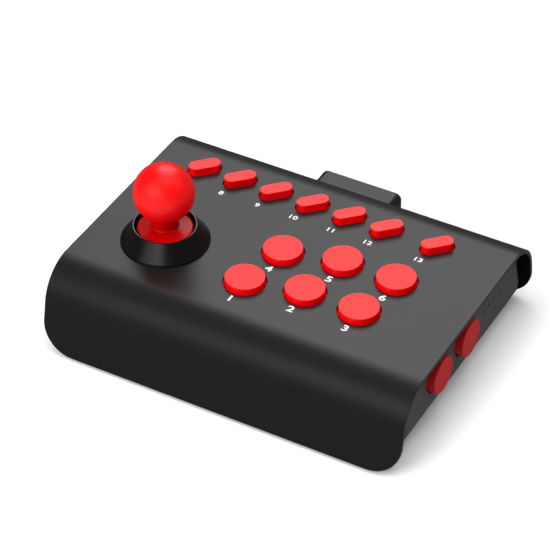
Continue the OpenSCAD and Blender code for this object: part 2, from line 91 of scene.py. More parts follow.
def outline(points, closed=True, step=12.0, low=3):
    """Rounds the corners of a polygon. points are (x, y, radius); gives (x, y, nx, ny), normals to the right of travel."""
    out = []
    n = len(points)
    for i, (x, y, r) in enumerate(points):
        p = Vector((x, y))
        if not closed and i in (0, n - 1):
            q = Vector(points[1 if i == 0 else n - 2][:2])
            d = (q - p) if i == 0 else (p - q)
            d.normalize()
            out.append((x, y, d.y, -d.x))
            continue
        d0 = (p - Vector(points[i - 1][:2])).normalized()
        d1 = (Vector(points[(i + 1) % n][:2]) - p).normalized()
        turn = math.atan2(d0.x * d1.y - d0.y * d1.x, d0.dot(d1))
        if abs(turn) < 1e-5:
            out.append((x, y, d0.y, -d0.x))
            continue
        r = max(r, 0.02)
        t = r * math.tan(abs(turn) / 2)
        right = Vector((d0.y, -d0.x))
        sign = 1 if turn > 0 else -1
        c = p - d0 * t - right * (r * sign)
        k = max(low, min(math.ceil(abs(turn) / rad(step)), math.ceil(r * abs(turn) / 0.12)))
        for j in range(k + 1):
            a = turn * j / k
            nn = Vector((right.x * math.cos(a) - right.y * math.sin(a), right.x * math.sin(a) + right.y * math.cos(a)))
            q = c + nn * (r * sign)
            if out and (Vector(out[-1][:2]) - q).length < 1e-4:
                continue
            out.append((q.x, q.y, nn.x, nn.y))
    if closed and (Vector(out[0][:2]) - Vector(out[-1][:2])).length < 1e-4:
        out.pop()
    return out


def divide(loop, step, closed=True):
    """Adds points to the long straight parts of a loop."""
    out = []
    n = len(loop)
    for i in range(n if closed else n - 1):
        a, b = loop[i], loop[(i + 1) % n]
        d = math.hypot(b[0] - a[0], b[1] - a[1])
        out.append(a)
        k = int(d // step)
        for j in range(1, k + 1):
            f = j / (k + 1)
            out.append((a[0] + (b[0] - a[0]) * f, a[1] + (b[1] - a[1]) * f,
                        a[2] + (b[2] - a[2]) * f, a[3] + (b[3] - a[3]) * f))
    if not closed:
        out.append(loop[-1])
    return out


def ring(n=96):
    """A circle of radius 0 whose normals point outward, for turned shapes."""
    return [(0.0, 0.0, math.cos(2 * math.pi * i / n), math.sin(2 * math.pi * i / n)) for i in range(n)]


def circle(x, y, r, n=96):
    return [(x + r * math.cos(2 * math.pi * i / n), y + r * math.sin(2 * math.pi * i / n),
             math.cos(2 * math.pi * i / n), math.sin(2 * math.pi * i / n)) for i in range(n)]


def loft(name, loop, section, closed=False, place=None):
    """Sweeps a section round a loop. section is (out, z, n_out, n_z), drawn so that its right side is outside."""
    m = len(loop)
    verts, norms, rows = [], [], []
    point_loop = all(abs(p[0] - loop[0][0]) < 1e-9 and abs(p[1] - loop[0][1]) < 1e-9 for p in loop)
    for o, z, no, nz in section:
        if point_loop and abs(o) < 1e-6:
            rows.append([len(verts)] * m)
            verts.append((loop[0][0], loop[0][1], z))
            norms.append((0, 0, 1 if nz > 0 else -1))
            continue
        row = []
        for x, y, nx, ny in loop:
            row.append(len(verts))
            verts.append((x + nx * o, y + ny * o, z))
            norms.append((nx * no, ny * no, nz))
        rows.append(row)
    faces = []
    k = len(rows)
    for j in range(k if closed else k - 1):
        a, b = rows[j], rows[(j + 1) % k]
        for i in range(m):
            i2 = (i + 1) % m
            if a[i] == a[i2]:
                faces.append((a[i], b[i2], b[i]))
            elif b[i] == b[i2]:
                faces.append((a[i], a[i2], b[i]))
            else:
                faces.append((a[i], a[i2], b[i2], b[i]))
    if not closed:
        if rows[0][0] != rows[0][1]:
            faces.append(tuple(reversed(rows[0])))
        if rows[-1][0] != rows[-1][1]:
            faces.append(tuple(rows[-1]))
    if place is not None:
        rot = place.to_3x3()
        verts = [tuple(place @ Vector(v)) for v in verts]
        norms = [tuple(rot @ Vector(v)) for v in norms]
    return make(name, verts, faces, norms)


def inside(p, loop):
    c = False
    n = len(loop)
    for i in range(n):
        x1, y1 = loop[i][0], loop[i][1]
        x2, y2 = loop[(i + 1) % n][0], loop[(i + 1) % n][1]
        if (y1 > p[1]) != (y2 > p[1]) and p[0] < (x2 - x1) * (p[1] - y1) / (y2 - y1) + x1:
            c = not c
    return c


def rings_for(t, r_top, r_low, n=4):
    """(inset, depth, up, out) from the top face to the bottom face of a plate of thickness t."""
    out = []
    for k in range(n + 1):
        a = rad(90 * k / n)
        out.append((r_top * (1 - math.sin(a)), r_top * (1 - math.cos(a)), math.cos(a), math.sin(a)))
    for k in range(n + 1):
        a = rad(90 * k / n)
        out.append((r_low * (1 - math.cos(a)), t - r_low * (1 - math.sin(a)), -math.sin(a), math.cos(a)))
    return out


def plate(name, outer, holes, rings, mapping, grid=(), clear=0.9):
    """A plate with holes and eased rims. outer runs counter-clockwise and each hole too; mapping(x, y, depth)
    gives the point and the three directions of the plate there; grid adds points inside the two faces."""
    loops = [outer] + [[(x, y, -nx, -ny) for x, y, nx, ny in reversed(h)] for h in holes]
    verts, norms = [], []
    index = []
    for loop in loops:
        rows = []
        for inset, depth, up, side in rings:
            row = []
            for x, y, nx, ny in loop:
                px, py = x - nx * inset, y - ny * inset
                p, ex, ey, ez = mapping(px, py, depth)
                row.append(len(verts))
                verts.append(tuple(p))
                norms.append(tuple(ex * (nx * side) + ey * (ny * side) + ez * up))
            rows.append(row)
        index.append(rows)
    faces = []
    for rows, loop in zip(index, loops):
        n = len(loop)
        for j in range(len(rows) - 1):
            for i in range(n):
                faces.append((rows[j][i], rows[j + 1][i], rows[j + 1][(i + 1) % n], rows[j][(i + 1) % n]))
    for face, (inset, depth, up, side) in ((0, rings[0]), (-1, rings[-1])):
        under = len(faces)
        flat = [[(x - nx * inset, y - ny * inset) for x, y, nx, ny in loop] for loop in loops]
        coords, edges, source = [], [], []
        for rows, pts in zip(index, flat):
            base = len(coords)
            coords += [Vector(p) for p in pts]
            source += rows[face]
            edges += [(base + i, base + (i + 1) % len(pts)) for i in range(len(pts))]
        near = [p for pts in flat for p in pts]
        cells = {}
        for p in near:
            cells.setdefault((round(p[0] / 4), round(p[1] / 4)), []).append(p)
        for g in grid:
            c = (round(g[0] / 4), round(g[1] / 4))
            close = False
            for a in (-1, 0, 1):
                for b in (-1, 0, 1):
                    for p in cells.get((c[0] + a, c[1] + b), ()):
                        if (p[0] - g[0]) ** 2 + (p[1] - g[1]) ** 2 < clear * clear:
                            close = True
            if close or not inside(g, flat[0]) or any(inside(g, h) for h in flat[1:]):
                continue
            coords.append(Vector((g[0], g[1])))
            p, ex, ey, ez = mapping(g[0], g[1], depth)
            source.append(len(verts))
            verts.append(tuple(p))
            norms.append(tuple(ez * (1 if up > 0 else -1)))
        out = delaunay_2d_cdt(coords, edges, [], 0, 1e-5, True)
        vs, fs, orig = out[0], out[2], out[3]
        ids = [source[o[0]] if o else None for o in orig]
        for f in fs:
            if any(ids[v] is None for v in f):
                continue
            c = (sum(vs[v][0] for v in f) / 3, sum(vs[v][1] for v in f) / 3)
            if not inside(c, flat[0]) or any(inside(c, h) for h in flat[1:]):
                continue
            a, b, d = (vs[v] for v in f)
            area = (b[0] - a[0]) * (d[1] - a[1]) - (b[1] - a[1]) * (d[0] - a[0])
            if abs(area) < 6e-5 * max(math.dist(a, b), math.dist(b, d), math.dist(d, a)):
                continue                      # a flat triangle along a straight edge
            tri = [ids[v] for v in f]
            if (area > 0) != (up > 0):
                tri.reverse()
            faces.append(tuple(tri))
    obj = make(name, verts, faces, norms)
    obj["under_from"] = under if len(obj.data.polygons) == len(faces) else len(faces)
    return obj


def flat_map(origin, ax, ay, az):
    """Mapping for a flat plate: depth runs against az."""
    o, ax, ay, az = Vector(origin), Vector(ax), Vector(ay), Vector(az)
    return lambda x, y, d: (o + ax * x + ay * y - az * d, ax, ay, az)


# ---- materials -----------------------------------------------------------

def srgb(r, g, b):
    def f(c):
        c /= 255
        return c / 12.92 if c <= 0.04045 else ((c + 0.055) / 1.055) ** 2.4
    return (f(r), f(g), f(b), 1.0)


def plastic(name, color, rough, grain=900.0, bump=0.03, vary=0.12, rough_vary=0.06, metal=0.0, coat=0.0,
            coat_rough=0.2, spec=0.5, sub=0.0, speck=None, alpha=1.0):
    """Moulded or painted surface: cloudy colour, fine grain in the roughness and a small bump, in metres of object space."""
    mat = bpy.data.materials.new(name)
    mat.use_nodes = True
    nt = mat.node_tree
    nt.nodes.clear()
    out = nt.nodes.new("ShaderNodeOutputMaterial")
    b = nt.nodes.new("ShaderNodeBsdfPrincipled")
    nt.links.new(b.outputs[0], out.inputs[0])
    co = nt.nodes.new("ShaderNodeTexCoord")
    cloud = nt.nodes.new("ShaderNodeTexNoise")
    cloud.inputs["Scale"].default_value = 26.0
    cloud.inputs["Detail"].default_value = 5.0
    cloud.inputs["Roughness"].default_value = 0.6
    fine = nt.nodes.new("ShaderNodeTexNoise")
    fine.inputs["Scale"].default_value = grain
    fine.inputs["Detail"].default_value = 3.0
    nt.links.new(co.outputs["Object"], cloud.inputs["Vector"])
    nt.links.new(co.outputs["Object"], fine.inputs["Vector"])
    ramp = nt.nodes.new("ShaderNodeValToRGB")
    ramp.color_ramp.elements[0].position = 0.3
    ramp.color_ramp.elements[1].position = 0.7
    c0 = [max(0.0, c * (1 - vary)) for c in color[:3]] + [1]
    c1 = [min(1.0, c * (1 + vary)) for c in color[:3]] + [1]
    ramp.color_ramp.elements[0].color = c0
    ramp.color_ramp.elements[1].color = c1
    nt.links.new(cloud.outputs["Fac"], ramp.inputs["Fac"])
    mix = nt.nodes.new("ShaderNodeMix")
    mix.data_type = "RGBA"
    mix.blend_type = "MULTIPLY"
    mix.inputs["Factor"].default_value = 0.25 if speck is None else speck
    dots = nt.nodes.new("ShaderNodeValToRGB")
    dots.color_ramp.elements[0].position = 0.35
    dots.color_ramp.elements[0].color = (0.72, 0.72, 0.72, 1)
    dots.color_ramp.elements[1].position = 0.62
    nt.links.new(fine.outputs["Fac"], dots.inputs["Fac"])
    nt.links.new(ramp.outputs["Color"], mix.inputs["A"])
    nt.links.new(dots.outputs["Color"], mix.inputs["B"])
    nt.links.new(mix.outputs["Result"], b.inputs["Base Color"])
    rr = nt.nodes.new("ShaderNodeMapRange")
    rr.inputs["From Min"].default_value = 0.3
    rr.inputs["From Max"].default_value = 0.7
    rr.inputs["To Min"].default_value = max(0.02, rough - rough_vary)
    rr.inputs["To Max"].default_value = min(1.0, rough + rough_vary)
    nt.links.new(fine.outputs["Fac"], rr.inputs["Value"])
    nt.links.new(rr.outputs["Result"], b.inputs["Roughness"])
    bp = nt.nodes.new("ShaderNodeBump")
    bp.inputs["Strength"].default_value = bump
    bp.inputs["Distance"].default_value = 0.0003
    nt.links.new(fine.outputs["Fac"], bp.inputs["Height"])
    nt.links.new(bp.outputs["Normal"], b.inputs["Normal"])
    b.inputs["Metallic"].default_value = metal
    b.inputs["Specular IOR Level"].default_value = spec
    b.inputs["Coat Weight"].default_value = coat
    b.inputs["Coat Roughness"].default_value = coat_rough
    if sub:
        b.inputs["Subsurface Weight"].default_value = sub
        b.inputs["Subsurface Radius"].default_value = (0.004, 0.001, 0.001)
    if alpha < 1:
        b.inputs["Transmission Weight"].default_value = 1 - alpha
    return mat


M = {
    "shell": plastic("painted_shell", srgb(21, 21, 22), 0.39, grain=2600, bump=0.03, vary=0.05, spec=0.35),
    # Near-black painted shade: stands in for the shadow inside the shell and in the set-back corners behind the side
    # panels.
    "inside_painted_shade": plastic("painted_shade_inside_black", srgb(9, 9, 9), 0.7, grain=1800, bump=0.05, vary=0.05, spec=0.15),
    "cover": plastic("cover_black", srgb(15, 15, 16), 0.55, grain=1600, bump=0.05, vary=0.06, spec=0.3),
    # Dark housing plastic lightened to grey: painted sheen standing in for the floor's reflection in the side panels.
    "housing": plastic("painted_sheen_housing_grey", srgb(65, 64, 67), 0.3, grain=1900, bump=0.03, vary=0.06, spec=0.4),
    "block": plastic("socket_block_plastic", srgb(25, 24, 25), 0.4, grain=2400, bump=0.03, vary=0.05, spec=0.35),
    "bezel": plastic("bezel_gloss", srgb(5, 5, 6), 0.3, grain=1500, bump=0.004, vary=0.1, rough_vary=0.02, spec=0.5),
    "ball": plastic("ball_red_satin", srgb(222, 2, 5), 0.36, grain=1400, bump=0.004, vary=0.03, spec=0.36, speck=0.04),
    # Skirt red darker than the ball's: painted shade for its place down in the bezel's recess.
    "skirt": plastic("skirt_red", srgb(182, 2, 5), 0.26, grain=1400, bump=0.006, vary=0.03, spec=0.14, speck=0.06),
    "cap": plastic("cap_red", srgb(246, 3, 8), 0.36, grain=2000, bump=0.006, vary=0.02, spec=0.262, speck=0.04),
    "cap_oblong": plastic("oblong_cap_red", srgb(246, 3, 8), 0.36, grain=2000, bump=0.006, vary=0.02, spec=0.31, speck=0.04),
    # Side caps in a darker copy of the top caps' red: painted shade for their side-facing, less lit place.
    "side_cap": plastic("painted_shade_side_cap_red", srgb(176, 4, 9), 0.4, grain=2000, bump=0.006, vary=0.03, spec=0.4, speck=0.05),
    "print": plastic("white_print", srgb(238, 238, 236), 0.6, grain=3000, bump=0.02, vary=0.02, speck=0.05),
    "steel": plastic("turned_steel", srgb(190, 192, 196), 0.28, grain=1200, bump=0.03, vary=0.08, metal=1.0),
    "screw": plastic("zinc_screw", srgb(150, 152, 156), 0.36, grain=1500, bump=0.05, vary=0.15, metal=1.0),
    "nylon": plastic("nylon_white", srgb(222, 220, 212), 0.45, grain=900, sub=0.1),
    "moulded": plastic("moulded_black", srgb(24, 24, 26), 0.5, grain=1400, bump=0.06),
    "board": plastic("solder_mask_green", srgb(16, 78, 40), 0.35, grain=500, vary=0.2, coat=0.3),
    "can": plastic("tinned_can", srgb(185, 188, 190), 0.3, grain=700, metal=1.0),
    "silicone": plastic("silicone_grey", srgb(205, 205, 200), 0.6, grain=1100, sub=0.1),
    "light": plastic("led_white", srgb(240, 240, 228), 0.35, grain=1500),
    "clear": plastic("clear_guide", srgb(235, 240, 244), 0.12, grain=700, bump=0.005, alpha=0.3),
    "smoked": plastic("smoked_guide", srgb(12, 12, 13), 0.2, grain=700, bump=0.005, spec=0.3),
    # Lighter grey on the shell's end faces: painted sheen standing in for the floor's reflection in them.
    "edge": plastic("painted_sheen_shell_end", srgb(58, 57, 60), 0.4, grain=2200, bump=0.02, vary=0.05, spec=0.4),
    "battery": plastic("battery_wrap", srgb(116, 132, 150), 0.35, grain=300, vary=0.2),
    "lead": plastic("lead_red", srgb(170, 22, 20), 0.45, grain=1500),
    "ribbon": plastic("ribbon_grey", srgb(180, 181, 186), 0.5, grain=400, vary=0.15),
    "rubber": plastic("foot_rubber", srgb(17, 17, 17), 0.85, grain=2200, bump=0.12, vary=0.15),
    "hole": plastic("deep_shadow", srgb(8, 8, 8), 0.9, grain=900),
}


def dress(obj, mat, body, slot, *replaced):
    obj.data.materials.clear()
    obj.data.materials.append(M[mat])
    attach(obj, body)
    if replaced:
        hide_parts(*replaced)
    return obj


# ---- top shell -----------------------------------------------------------
LF = (FZ + FRONT_R * math.cos(rad(FRONT_TURN)) - GAP_Z) / math.sin(rad(FRONT_TURN))
LB = (BZ + BACK_R * math.cos(rad(BACK_TURN)) - GAP_Z) / math.sin(rad(BACK_TURN))
AF = FRONT_R * rad(FRONT_TURN)
AB = BACK_R * rad(BACK_TURN)
S1 = LF                       # start of the front bend
S2 = LF + AF                  # start of the flat top
S3 = S2 + (BY - FY)           # start of the back bend
S4 = S3 + AB                  # start of the back apron
S5 = S4 + LB


def s_of(y):
    return S2 + (y - FY)


def shell_at(x, s, d):
    """Point of the bent sheet at width x, length s from the front apron's edge, depth d under the outer surface."""
    if s < S2:
        a = rad(FRONT_TURN) if s < S1 else rad(FRONT_TURN) * (S2 - s) / AF
        out = Vector((0, -math.sin(a), math.cos(a)))
        run = Vector((0, math.cos(a), math.sin(a)))
        p = Vector((x, FY, FZ)) + out * (FRONT_R - d)
        if s < S1:
            p -= run * (S1 - s)
    elif s > S3:
        a = rad(BACK_TURN) if s > S4 else rad(BACK_TURN) * (s - S3) / AB
        out = Vector((0, math.sin(a), math.cos(a)))
        run = Vector((0, math.cos(a), -math.sin(a)))
        p = Vector((x, BY, BZ)) + out * (BACK_R - d)
        if s > S4:
            p += run * (s - S4)
    else:
        out, run = Vector((0, 0, 1)), Vector((0, 1, 0))
        p = Vector((x, FY + s - S2, TOP_Z - d))
    return p, Vector((1, 0, 0)), run, out


def bend_rows():
    rows = [S1 + AF * k / 30 for k in range(31)] + [S3 + AB * k / 28 for k in range(29)]
    return rows


def cut_rows(loop, rows):
    """Adds points where the straight parts of a loop cross the given rows."""
    out = []
    n = len(loop)
    for i in range(n):
        a, b = loop[i], loop[(i + 1) % n]
        out.append(a)
        if abs(b[1] - a[1]) < 0.3:
            continue
        fs = sorted((r - a[1]) / (b[1] - a[1]) for r in rows)
        for f in fs:
            if 0.02 < f < 0.98:
                out.append(tuple(a[k] + (b[k] - a[k]) * f for k in range(4)))
    return out


def stadium(x, y, l, w, turn=45.0):
    pts = outline([(-l / 2, -w / 2, w / 2), (l / 2, -w / 2, w / 2), (l / 2, w / 2, w / 2), (-l / 2, w / 2, w / 2)], step=7)
    c, s = math.cos(rad(turn)), math.sin(rad(turn))
    return [(x + a * c - b * s, y + a * s + b * c, na * c - nb * s, na * s + nb * c) for a, b, na, nb in pts]


NOTCH_S = S3 + BACK_R * math.acos((42.5 - BZ) / BACK_R)
outer = outline([(-HALF_W, 0, FRONT_CORNER), (HALF_W, 0, FRONT_CORNER), (HALF_W, S5, BACK_CORNER), (25.2, S5, 0.8),
                 (25.2, NOTCH_S, 1.0), (-26.6, NOTCH_S, 1.0), (-26.6, S5, 0.8), (-HALF_W, S5, BACK_CORNER)], step=5)
rows = bend_rows() + [S1 * k / 5 for k in range(1, 5)] + [S4 + (S5 - S4) * k / 5 for k in range(1, 5)] \
    + [S2 + (S3 - S2) * k / 13 for k in range(1, 13)]
outer = divide(cut_rows(outer, rows), 7.0)
holes = [circle(x, s_of(y), 12.1, 96) for x, y in ROUND_AT]
holes += [stadium(x, s_of(y), 20.2, 10.0) for x, y in OBLONG_AT]
holes.append(circle(STICK[0], s_of(STICK[1]), 17.0, 96))
grid = [(-HALF_W + 6 + 98 * 2 * i / 36.0 + 1.0, s) for i in range(37) for s in rows]
shell = plate("top_shell_skin", outer, holes, rings_for(SHELL_T, 0.3, 0.3), shell_at, grid)
dress(shell, "shell", "case", "shell", "top_shell")
shell.data.materials.append(M["inside_painted_shade"])
shell.data.materials.append(M["edge"])
# The shell's underside faces take the near-black painted shade for the shadow inside the shell.
for k, poly in enumerate(shell.data.polygons):
    if k >= shell["under_from"]:
        poly.material_index = 1
    # The end faces at either side take the lighter grey painted sheen.
    elif abs(poly.normal.x) > 0.9 and abs(poly.center.x) > (HALF_W - 0.5) * MM:
        poly.material_index = 2

# ---- housing -------------------------------------------------------------
OFF = 4.3


def housing_at(x, s, d):
    return shell_at(x, s, d + OFF)


def profile_loop(off, low):
    """Side outline of what lies inside the shell surface, as (y, z, ny, nz), counter-clockwise."""
    rf, rb = FRONT_R - off, BACK_R - off
    f1 = (FY - rf * math.sin(rad(FRONT_TURN)), FZ + rf * math.cos(rad(FRONT_TURN)))
    b1 = (BY + rb * math.sin(rad(BACK_TURN)), BZ + rb * math.cos(rad(BACK_TURN)))
    fl = f1[0] - (f1[1] - low) / math.tan(rad(FRONT_TURN))
    bl = b1[0] + (b1[1] - low) / math.tan(rad(BACK_TURN))
    fc = (FY - rf * math.tan(rad(FRONT_TURN / 2)), FZ + rf)
    bc = (BY + rb * math.tan(rad(BACK_TURN / 2)), BZ + rb)
    return outline([(fl, low, 0.6), (bl, low, 0.6), (bc[0], bc[1], rb), (55, BZ + rb, 0.3), (55, 48.65, 0.5),
                    (-56, 48.65, 0.5), (-56, FZ + rf, 0.3), (fc[0], fc[1], rf)], step=3)


def rear_limit(z):
    """Where the side panel ends at the back, at height z: a slanting edge with a rounded lower corner."""
    y = 72.5 - 0.31 * (z - 20)
    if z < 20.5:
        y = min(y, 72.3 - 4 + math.sqrt(16 - (20.5 - z) ** 2))
    return y


def panel_at(sign):
    """The side panel is a plate whose front edge rolls over a 5 mm corner and whose back edge over a 1.2 mm one."""
    def at(y, z, d):
        drop, slope = 0.0, 0.0
        for edge, way, r, most in ((-75.5, -1, 5.0, 4.7), (rear_limit(z) - 1.2, 1, 1.2, 1.1)):
            t = (y - edge) * way
            if t > 0:
                t = min(t, most)
                drop = r - math.sqrt(r * r - t * t)
                slope = way * t / math.sqrt(r * r - t * t)
        out = Vector((sign, slope, 0)).normalized()
        run = Vector((-slope * sign, 1, 0)).normalized()
        p = Vector((sign * (SIDE_X - drop), y, z)) - out * d
        return p, run, Vector((0, 0, 1)), out
    return at


def clip(loop, limit, way):
    """Moves the points of a (y, z) outline that lie beyond limit(z) back onto it."""
    out = []
    for y, z, ny, nz in loop:
        if (y - limit(z)) * way > 0:
            y, ny, nz = limit(z), way * 0.96, 0.28
        if out and math.hypot(out[-1][0] - y, out[-1][1] - z) < 0.06:
            continue
        out.append((y, z, ny, nz))
    if math.hypot(out[0][0] - out[-1][0], out[0][1] - out[-1][1]) < 0.06:
        out.pop()
    return out


def panel(name, sign, with_holes):
    loop = clip(divide(profile_loop(OFF, SEAM_Z), 1.0), rear_limit, 1)
    hs = []
    if with_holes:
        hs = [circle(y, SIDE_Z, 11.6, 96) for y in SIDE_AT] + [circle(y, LED_Z, 0.95, 28) for y in LED_AT]
    g = [(-80 + 2.5 * i, 18 + 3.0 * j) for i in range(65) for j in range(11) if i < 4 or i > 56 or i % 2]
    g += [(rear_limit(18 + 2.0 * j) - k, 18 + 2.0 * j) for j in range(14) for k in (0.5, 0.9, 1.4)]
    if sign > 0:
        return plate(name, loop, hs, rings_for(2.5, 0.4, 0.2), panel_at(1), g, clear=0.35)
    # the mirrored panel: run the outline the other way round so that its outside still faces outward
    at = panel_at(-1)
    flip = [(-y, z, -ny, nz) for y, z, ny, nz in reversed(loop)]

    def left(y, z, d):
        p, run, up, out = at(-y, z, d)
        return p, -run, up, out
    return plate(name, flip, [], rings_for(2.5, 0.4, 0.2), left, [(-a, b) for a, b in g], clear=0.35)


def infill(name, sign):
    """The set-back corner of the housing behind the panel's slanting edge, in the near-black painted shade that stands
    in for the shadow of the recess.
    """
    rb = BACK_R - OFF
    b1 = (BY + rb * math.sin(rad(BACK_TURN)), BZ + rb * math.cos(rad(BACK_TURN)))
    loop = outline([(55.5, SEAM_Z, 0.3), (b1[0] + (b1[1] - SEAM_Z) / math.tan(rad(BACK_TURN)), SEAM_Z, 0.6),
                    (BY + rb * math.tan(rad(BACK_TURN / 2)), BZ + rb, rb), (55.5, BZ + rb, 0.3)], step=5)
    if sign < 0:
        loop = [(-y, z, -ny, nz) for y, z, ny, nz in reversed(loop)]
    return plate(name, loop, [], rings_for(1.6, 0.2, 0.2, 2),
                 flat_map((sign * 102.7, 0, 0), (0, sign, 0), (0, 0, 1), (sign, 0, 0)))


right_panel = dress(panel("housing_panel_right", 1, True), "housing", "case", "housing", "chassis_frame")
left_panel = dress(panel("housing_panel_left", -1, False), "housing", "case", "housing")
# The set-back corners get the near-black painted shade.
dress(infill("housing_corner_right", 1), "inside_painted_shade", "case", None)
dress(infill("housing_corner_left", -1), "inside_painted_shade", "case", None)

SEAM_SF = S1 - (shell_at(0, S1, OFF)[0].z - SEAM_Z) / math.sin(rad(FRONT_TURN))
SEAM_SB = S4 + (shell_at(0, S4, OFF)[0].z - SEAM_Z) / math.sin(rad(BACK_TURN))


def wall(name, s0, s1, holes=()):
    loop = outline([(-102.5, s0, 0.5), (102.5, s0, 0.5), (102.5, s1, 0.5), (-102.5, s1, 0.5)])
    rws = [r for r in bend_rows() if s0 < r < s1]
    loop = divide(cut_rows(loop, rws), 8.0)
    g = [(-98 + 8 * i, r) for i in range(25) for r in rws]
    return plate(name, loop, list(holes), rings_for(2.5, 0.25, 0.2, 2), housing_at, g)


dress(wall("housing_wall_front", SEAM_SF, s_of(-50)), "housing", "case", "housing")
dress(wall("housing_wall_back", s_of(52.3), SEAM_SB), "housing", "case", "housing")

# ---- rear block ----------------------------------------------------------


def box_loop(x0, x1, z0, z1, r=0.4):
    return outline([(x0, z0, r), (x1, z0, r), (x1, z1, r), (x0, z1, r)], step=20)


block_loop = divide(outline([(-24.6, 14, 2.0), (26, 14, 2.0), (26, 42.3, 4.0), (-24.6, 42.3, 4.0)], step=8), 4.0)
block = plate("rear_block_body", block_loop,
              [box_loop(-18, -6, 26, 38), box_loop(6, 18, 26, 38), box_loop(-4.9, 4.9, 19.5, 23.5, 1.6)],
              rings_for(12.8, 0.7, 0.2), flat_map((0, 86.4, 0), (-1, 0, 0), (0, 0, 1), (0, 1, 0)))
dress(block, "block", "case", "socket_block", "rear_socket")
core = plate("rear_block_core", outline([(-24, 15, 1.0), (24, 15, 1.0), (24, 40.5, 1.0), (-24, 40.5, 1.0)], step=20),
             [], rings_for(8.0, 0.3, 0.2, 2), flat_map((0, 74.2, 0), (-1, 0, 0), (0, 0, 1), (0, 1, 0)))
dress(core, "block", "case", "socket_block")

# ---- stick ---------------------------------------------------------------


def at(x, y, z=0.0):
    return Matrix.Translation((x, y, z))


sx, sy = STICK
bezel_section = outline([(15.3, 47.2, 0.2), (17.5, 47.2, 0.2), (17.5, 48.5, 0.15), (16.9, 48.6, 0.15), (16.9, 51.0, 0.1),
                         (25.0, 51.0, 0.12), (25.0, 51.8, 0.3), (24.45, 52.2, 0.4), (18.05, 61.7, 0.25),
                         (17.85, 62.0, 0.14), (17.15, 62.0, 0.22), (16.9, 61.4, 0.4), (21.6, 53.2, 0.8), (20.9, 52.4, 0.3),
                         (15.3, 52.4, 0.3)], step=12)
bezel = loft("joystick_bezel_cone", ring(144), bezel_section, closed=True, place=at(sx, sy))
dress(bezel, "bezel", "case", "bezel_black", "joystick_bezel")


def arc(cx, cz, r, a0, a1, n):
    """Points of an arc in the section plane, with normals pointing away from its centre."""
    out = []
    for k in range(n + 1):
        a = rad(a0 + (a1 - a0) * k / n)
        out.append((cx + r * math.cos(a), cz + r * math.sin(a), math.cos(a), math.sin(a)))
    return out


BALL_R = 17.1
flat_a = math.degrees(math.asin((68.4 - BALL_Z) / BALL_R))
ball_section = [(0.0, 68.4, 0, -1), (7.2, 68.4, 0, -1)]
ball_section += [(7.55, 68.44, 0.42, -0.9)]
ball_section += arc(0, BALL_Z, BALL_R, flat_a + 1.4, 90, 60)[:-1]
ball_section.append((0.0, BALL_Z + BALL_R, 0, 1))
ball = loft("ball_top_knob", ring(128), ball_section, place=at(sx, sy))
dress(ball, "ball", "stick", "ball_red", "ball_knob")

skirt_section = outline([(3.2, 56.6, 0.2), (6.0, 56.6, 0.3), (6.2, 59.5, 0.8), (9.5, 59.55, 1.0), (15.0, 58.65, 0.3),
                         (15.62, 58.9, 0.35), (15.62, 59.7, 0.4), (14.9, 60.2, 0.8), (7.1, 61.5, 1.5),
                         (7.1, 64.85, 0.3), (7.88, 65.4, 0.35), (7.88, 68.4, 0.25), (3.2, 68.4, 0.2)], step=8)
skirt = loft("skirt_flare", ring(128), skirt_section, closed=True, place=at(sx, sy))
dress(skirt, "skirt", "stick", "skirt_red", "dust_skirt")

# ---- caps ----------------------------------------------------------------
cap_out = outline([(4.0, 45.1, 0.1), (4.0, 52.6, 0.3), (10.2, 52.6, 0.3), (10.2, 46.9, 0.2), (13.4, 46.9, 0.25),
                   (13.4, 48.5, 0.3), (11.3, 48.5, 0.2), (11.28, 51.3, 0.3), (11.1, 54.4, 0.26), (0.0, 54.4, 0.0)],
                  closed=False, step=15)
cap_section = [(0.0, 44.65, 0, -1), (3.5, 44.65, 0, -1), (3.85, 44.78, 0.7, -0.7)] + cap_out
for i, (x, y) in enumerate(ROUND_AT):
    cap = loft(f"round_cap_{i + 1}", ring(120), cap_section, place=at(x, y))
    dress(cap, "cap", f"round_cap_{i + 1}", "button_red", f"round_button_{i + 1}")

oblong_out = outline([(-0.3, 46.9, 0.0), (1.4, 46.9, 0.3), (1.4, 48.5, 0.3), (0.0, 48.5, 0.2), (-0.02, 51.2, 0.2),
                      (-0.08, 55.15, 0.24), (-1.4, 55.15, 0.0)], closed=False, step=15)
for i, (x, y) in enumerate(OBLONG_AT):
    cap = loft(f"oblong_cap_{i + 1}", stadium(x, y, 18.8, 8.5), oblong_out)
    dress(cap, "cap_oblong", f"oblong_cap_{i + 1}", "button_red", f"oblong_button_{i + 1}")

side_out = outline([(3.6, 98.5, 0.1), (3.6, 107.4, 0.3), (9.4, 107.4, 0.3), (9.4, 101.5, 0.2), (12.4, 101.5, 0.25),
                    (12.4, 103.1, 0.3), (10.85, 103.1, 0.2), (10.85, 110.0, 0.4), (0.0, 110.0, 0.0)], closed=False, step=15)
side_section = [(0.0, 98.05, 0, -1), (3.2, 98.05, 0, -1), (3.5, 98.2, 0.7, -0.7)] + side_out
turn_x = Matrix.Rotation(rad(90), 4, "Y")
for name, node, body, y in (("side_cap_front_turned", "side_button_front", "side_cap_front", SIDE_AT[0]),
                            ("side_cap_rear_turned", "side_button_rear", "side_cap_rear", SIDE_AT[1])):
    cap = loft(name, ring(120), side_section, place=at(0, y, SIDE_Z) @ turn_x)
    dress(cap, "side_cap", body, "side_button_red", node)

